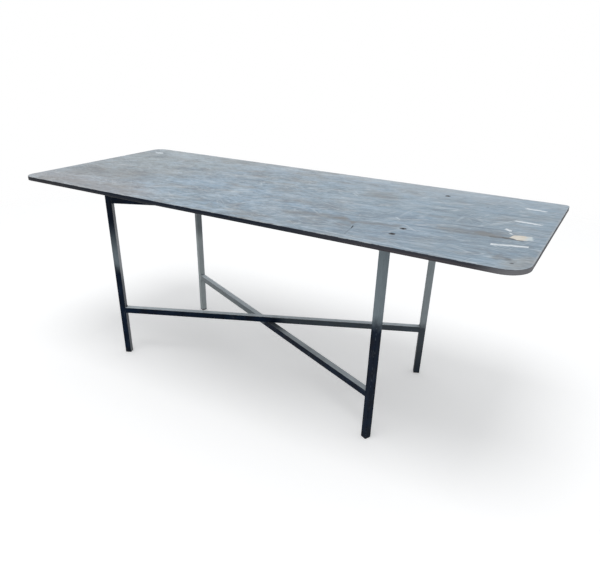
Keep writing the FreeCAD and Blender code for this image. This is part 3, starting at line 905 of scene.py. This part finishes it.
def fill(mesh, loops, marks):
    """Close the space between an outer loop and the loops inside it, with marks sunk into it."""
    height = loops[0][0].co.z
    corners = []
    edges = []
    for loop in loops:
        edges += round_edges(len(corners), len(loop))
        corners += loop
    for mark in marks:
        for line, level in ((mark["outline"], height), (mark["floor"], height - mark["depth"])):
            edges += round_edges(len(corners), len(line))
            corners += [mesh.verts.new((point.x, point.y, level)) for point in line]

    # Points between, on a wide grid, so that no triangle is very long
    bores = [[vert.co.xy for vert in loop] for loop in loops[1:]]
    closed = bores + [mark["outline"] for mark in marks]
    for column in range(int(2 * HALF_LENGTH / CAP_STEP)):
        x = (column + CAP_START[0]) * CAP_STEP - HALF_LENGTH
        for row in range(int(2 * HALF_WIDTH / CAP_STEP)):
            point = Vector((x, (row + CAP_START[1]) * CAP_STEP - HALF_WIDTH))
            if not any(inside(point, loop) for loop in closed):
                corners.append(mesh.verts.new((point.x, point.y, height)))

    # Triangles over all points, without those in the bores and past the outer loop
    flat = [vert.co.xy for vert in corners]
    rim = flat[:len(loops[0])]
    faces, sources = geometry.delaunay_2d_cdt(flat, edges, [], 1, SAME_PLACE / 10, True)[2:4]
    for face in faces:
        picked = [sources[index][0] for index in face]
        verts = [corners[index] for index in picked]
        middle = middle_of([vert.co for vert in verts])
        beyond_rim = max(picked) < len(rim) and not inside(middle, rim)
        if beyond_rim or any(inside(middle, bore) for bore in bores):
            continue
        made = mesh.faces.new(verts)
        for mark in marks:
            if inside(middle, mark["outline"]):
                made.material_index = mark["material"]


def board_sheet(name, rings, bores, marks, materials):
    """A flat closed solid from outer loops at rising heights, with bores through it and marks on top."""
    mesh = bmesh.new()
    heights = [height for _, height in rings]
    walls = [[loop for loop, _ in rings]]
    walls += [[circle(centre, radius(height)) for height in heights] for centre, radius in bores]
    made = []
    for loops in walls:
        levels = []
        for loop, height in zip(loops, heights):
            levels.append([mesh.verts.new((point.x, point.y, height)) for point in loop])
        wall(mesh, levels)
        made.append(levels)
    fill(mesh, [levels[0] for levels in made], [])
    fill(mesh, [levels[-1] for levels in made], marks)
    bmesh.ops.recalc_face_normals(mesh, faces=mesh.faces)
    return finished(mesh, name, materials)


def build_top_film(points, nicks, bolts, dirt):
    """Top film with a worn lip, bored for the bolts and the old hole, with marks in it."""
    rings = []
    for rise, share in LIP_PROFILE:
        rings.append(worn_ring(points, FILM_LOW.z + FILM_HEIGHT * rise, nicks, lip(share)))
    materials = [top_film_material(), bare_wood_material(), pale_mark_material(), dirt]
    bores = bolts + [(OLD_HOLE, lambda height: OLD_HOLE_RADIUS)]
    film = board_sheet("worn_top_film", rings, bores, top_marks(), materials)
    stand_in(film, "tabletop_film_top")


def build_core(points, nicks, bolts, dirt, draw):
    """Core of plies that stand back unevenly, with the old hole's blind end in it."""
    ply = CORE_HEIGHT / PLIES
    rings = []
    for layer in range(PLIES):
        step = draw.uniform(0, PLY_STEP)
        bottom = CORE_LOW.z + layer * ply
        for height in (bottom + PLY_GROOVE * ply, bottom + (1 - PLY_GROOVE) * ply):
            rings.append(worn_ring(points, height, nicks, lambda point: step))
    rings[0] = (rings[0][0], CORE_LOW.z)
    rings[-1] = (rings[-1][0], CORE_HIGH.z)
    hole = circle(OLD_HOLE, OLD_HOLE_RADIUS)
    floor = drawn_in(hole, OLD_HOLE_TAPER)
    blind = {"outline": hole, "floor": floor, "material": 1, "depth": OLD_HOLE_DEPTH - FILM_HEIGHT}
    core = board_sheet("worn_core", rings, bolts, [blind], [core_material(), dirt])
    stand_in(core, "tabletop_core")


def build_backing(points, nicks, bolts):
    """Bottom film with a worn lip, turned downward."""
    rings = []
    for rise, share in reversed(LIP_PROFILE):
        rings.append(worn_ring(points, BACKING_HIGH.z - BACKING_HEIGHT * rise, nicks, lip(share)))
    backing = board_sheet("worn_backing_film", rings, bolts, [], [backing_film_material()])
    stand_in(backing, "tabletop_film_bottom")


def build_board():
    """Core and films with worn edges, in place of the plain layers."""
    draw = random.Random(WEAR_SEED)
    points = outline()
    nicks = edge_nicks(points, draw)
    bolts = [(place, bolt_bore) for place in BOLT_PLACES]
    dirt = grime_material()
    build_top_film(points, nicks, bolts, dirt)
    build_core(points, nicks, bolts, dirt, draw)
    build_backing(points, nicks, bolts)


# Shapes of the weld beads

def bead_frame(points):
    """Start and end of a quarter-round bead's corner line, and the two arms of its section."""
    best = None
    for start, end in permutations(points, 2):
        way = (end - start).normalized()
        level = [point for point in points if abs((point - start).dot(way)) < SAME_PLACE]
        ends = [point for point in points if abs((point - end).dot(way)) < SAME_PLACE]
        if len(level) + len(ends) != len(points):
            continue
        spokes = [point - start for point in level if point != start]
        lengths = [spoke.length for spoke in spokes]
        spread = max(lengths) - min(lengths)
        if best is None or spread < best[0]:
            best = (spread, start, end, spokes)
    start, end, spokes = best[1:]
    pairs = combinations(reversed(spokes), 2)
    arms = max(pairs, key=lambda pair: (pair[0] - pair[1]).length)
    first, second = [arm.normalized() * spokes[0].length for arm in arms]
    return start, end, first, second


def add_bead(mesh, start, end, first, second, seed):
    """One bead along a corner, with crescent ripples and rounded ends."""
    along = end - start
    rings = max(FEWEST_STEPS, round(along.length / RIPPLE * RINGS_PER_RIPPLE))
    loops = []
    for ring in range(rings + 1):
        share = ring / rings
        run = share * along.length
        ending = min(1.0, run / BEAD_END, (along.length - run) / BEAD_END)
        size = BEAD_END_SIZE + (1 - BEAD_END_SIZE) * math.sqrt(max(0.0, 1 - (1 - ending) ** 2))
        swing = BEAD_SWING * noise.noise(Vector((run / BEAD_SWING_LENGTH, seed, BEAD_SEED)))
        centre = start + along * share
        loop = [mesh.verts.new(centre)]
        for step in range(ARC_POINTS):
            turn = step / (ARC_POINTS - 1)
            crescent = (run / RIPPLE + RIPPLE_BEND * (2 * turn - 1) ** 2) % 1.0
            crest = RIPPLE_RISE * math.sqrt(1 - crescent) * math.sin(math.pi * turn)
            reach = size * (BEAD_FILL + swing + crest)
            angle = turn * math.pi / 2
            spoke = first * math.cos(angle) + second * math.sin(angle)
            loop.append(mesh.verts.new(centre + spoke * reach))
        loops.append(loop)
    wall(mesh, loops)
    mesh.faces.new(list(reversed(loops[0])))
    mesh.faces.new(loops[-1])
    bmesh.ops.recalc_face_normals(mesh, faces=mesh.faces)


def build_beads():
    """Rippled beads in place of the plain quarter rounds."""
    material = weld_material()
    for node in WELDS:
        mesh = bmesh.new()
        for seed, points in enumerate(solids_of(node)):
            add_bead(mesh, *bead_frame(points), seed)
        piece = finished(mesh, node.replace("welds", "beads"), [material])
        for face in piece.data.polygons:
            face.use_smooth = True
        stand_in(piece, node)


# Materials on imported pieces

def paint(names, material):
    """Give nodes one material."""
    for name in names:
        data = nodes[name].data
        data.materials.clear()
        data.materials.append(material)


def paint_frame():
    """Materials of tubes, plates, plugs and fasteners."""
    diagonal = math.atan2(LEG_Y, LEG_X)
    paint(FRAME_A, steel_material(
        "frame_paint_a", diagonal, board_shade_span=(0.43, 0.60, 0.25, 1.0), rail_reflection=(0.02, 0.08, 0.0, 0.2),
        inner_sheen=1.0, crossing_shadow=0.0))
    paint(FRAME_B, steel_material(
        "frame_paint_b", -diagonal, board_shade_span=(0.36, 0.44, 0.0, 0.5), rail_reflection=(-0.01, -0.05, 0.0, 0.6),
        inner_sheen=0.0, crossing_shadow=0.85))
    paint([f"foot_plug_{leg}" for leg in REFLECTION_START], foot_material())
    paint(["fixing_bolts", "fixing_washers", "fixing_nuts"], fastener_material())


# Floor, light and camera

def white_background():
    """A white world to the eye and in reflections, and an even soft light otherwise."""
    world = bpy.data.worlds.new("studio")
    bpy.context.scene.world = world
    world.use_nodes = True
    net = Nodes(world.node_tree)
    light = net.tree.nodes["Background"]
    net.feed(light.inputs["Color"], SKY_COLOUR)
    net.feed(light.inputs["Strength"], SKY_LIGHT)
    white = net.add("ShaderNodeBackground", {"Color": (1, 1, 1, 1), "Strength": 1.0})
    mixed = net.add("ShaderNodeMixShader", {0: net.seen(), 1: light.outputs[0], 2: white.outputs[0]})
    net.feed(net.tree.nodes["World Output"].inputs["Surface"], mixed.outputs[0])


def floor_material():
    """Pale matt floor that fades into the white background far from the table."""
    look = Look("pale_floor", specular=0.0)
    look.feed(look.shader.inputs["Base Color"], FLOOR_COLOUR)
    look.feed(look.shader.inputs["Roughness"], 1.0)
    distance = look.vector("LENGTH", look.place, output="Value")
    far = look.band(distance, FLOOR_CLEAR, FLOOR_END)
    glow = look.add("ShaderNodeEmission", {"Strength": look.product(look.seen(), FLOOR_GLOW)})
    lit = look.add("ShaderNodeAddShader", {0: look.shader.outputs[0], 1: glow.outputs[0]})
    clear = look.add("ShaderNodeBsdfTransparent")
    mixed = look.add("ShaderNodeMixShader", {0: far, 1: lit.outputs[0], 2: clear.outputs[0]})
    look.feed(look.tree.nodes["Material Output"].inputs["Surface"], mixed.outputs[0])
    return look.material


def build_floor():
    """One flat floor under the feet."""
    mesh = bmesh.new()
    corners = [(-1, -1), (1, -1), (1, 1), (-1, 1)]
    mesh.faces.new([mesh.verts.new((x * FLOOR_REACH, y * FLOOR_REACH, 0)) for x, y in corners])
    floor = finished(mesh, "floor", [floor_material()])


def build_lamp():
    """A square soft lamp aimed at the table."""
    lamp = bpy.data.lights.new("key_lamp", "AREA")
    lamp.shape = "SQUARE"
    lamp.size = LAMP_SIZE
    lamp.energy = LAMP_POWER
    item = bpy.data.objects.new("key_lamp", lamp)
    item.location = LAMP_PLACE
    item.rotation_euler = (LAMP_TARGET - LAMP_PLACE).to_track_quat("-Z", "Y").to_euler()
    bpy.context.scene.collection.objects.link(item)


def build_camera():
    """The photograph's camera."""
    data = bpy.data.cameras.new("photo_camera")
    data.sensor_fit = "HORIZONTAL"
    data.sensor_width = CAMERA_SENSOR
    data.lens = CAMERA_LENS
    data.shift_x, data.shift_y = CAMERA_SHIFT
    data.clip_start = CAMERA_NEAR
    data.clip_end = CAMERA_FAR
    camera = bpy.data.objects.new("photo_camera", data)
    heading = Matrix.Rotation(math.radians(CAMERA_AZIMUTH), 4, "Z")
    tilt = Matrix.Rotation(math.radians(90 - CAMERA_DOWN), 4, "X")
    roll = Matrix.Rotation(math.radians(CAMERA_ROLL), 4, "Z")
    camera.matrix_world = Matrix.Translation(CAMERA_EYE) @ heading @ tilt @ roll
    bpy.context.scene.collection.objects.link(camera)
    bpy.context.scene.camera = camera


bpy.context.scene.view_settings.view_transform = "Standard"
build_camera()
white_background()
build_floor()
build_lamp()
build_board()
build_beads()
paint_frame()
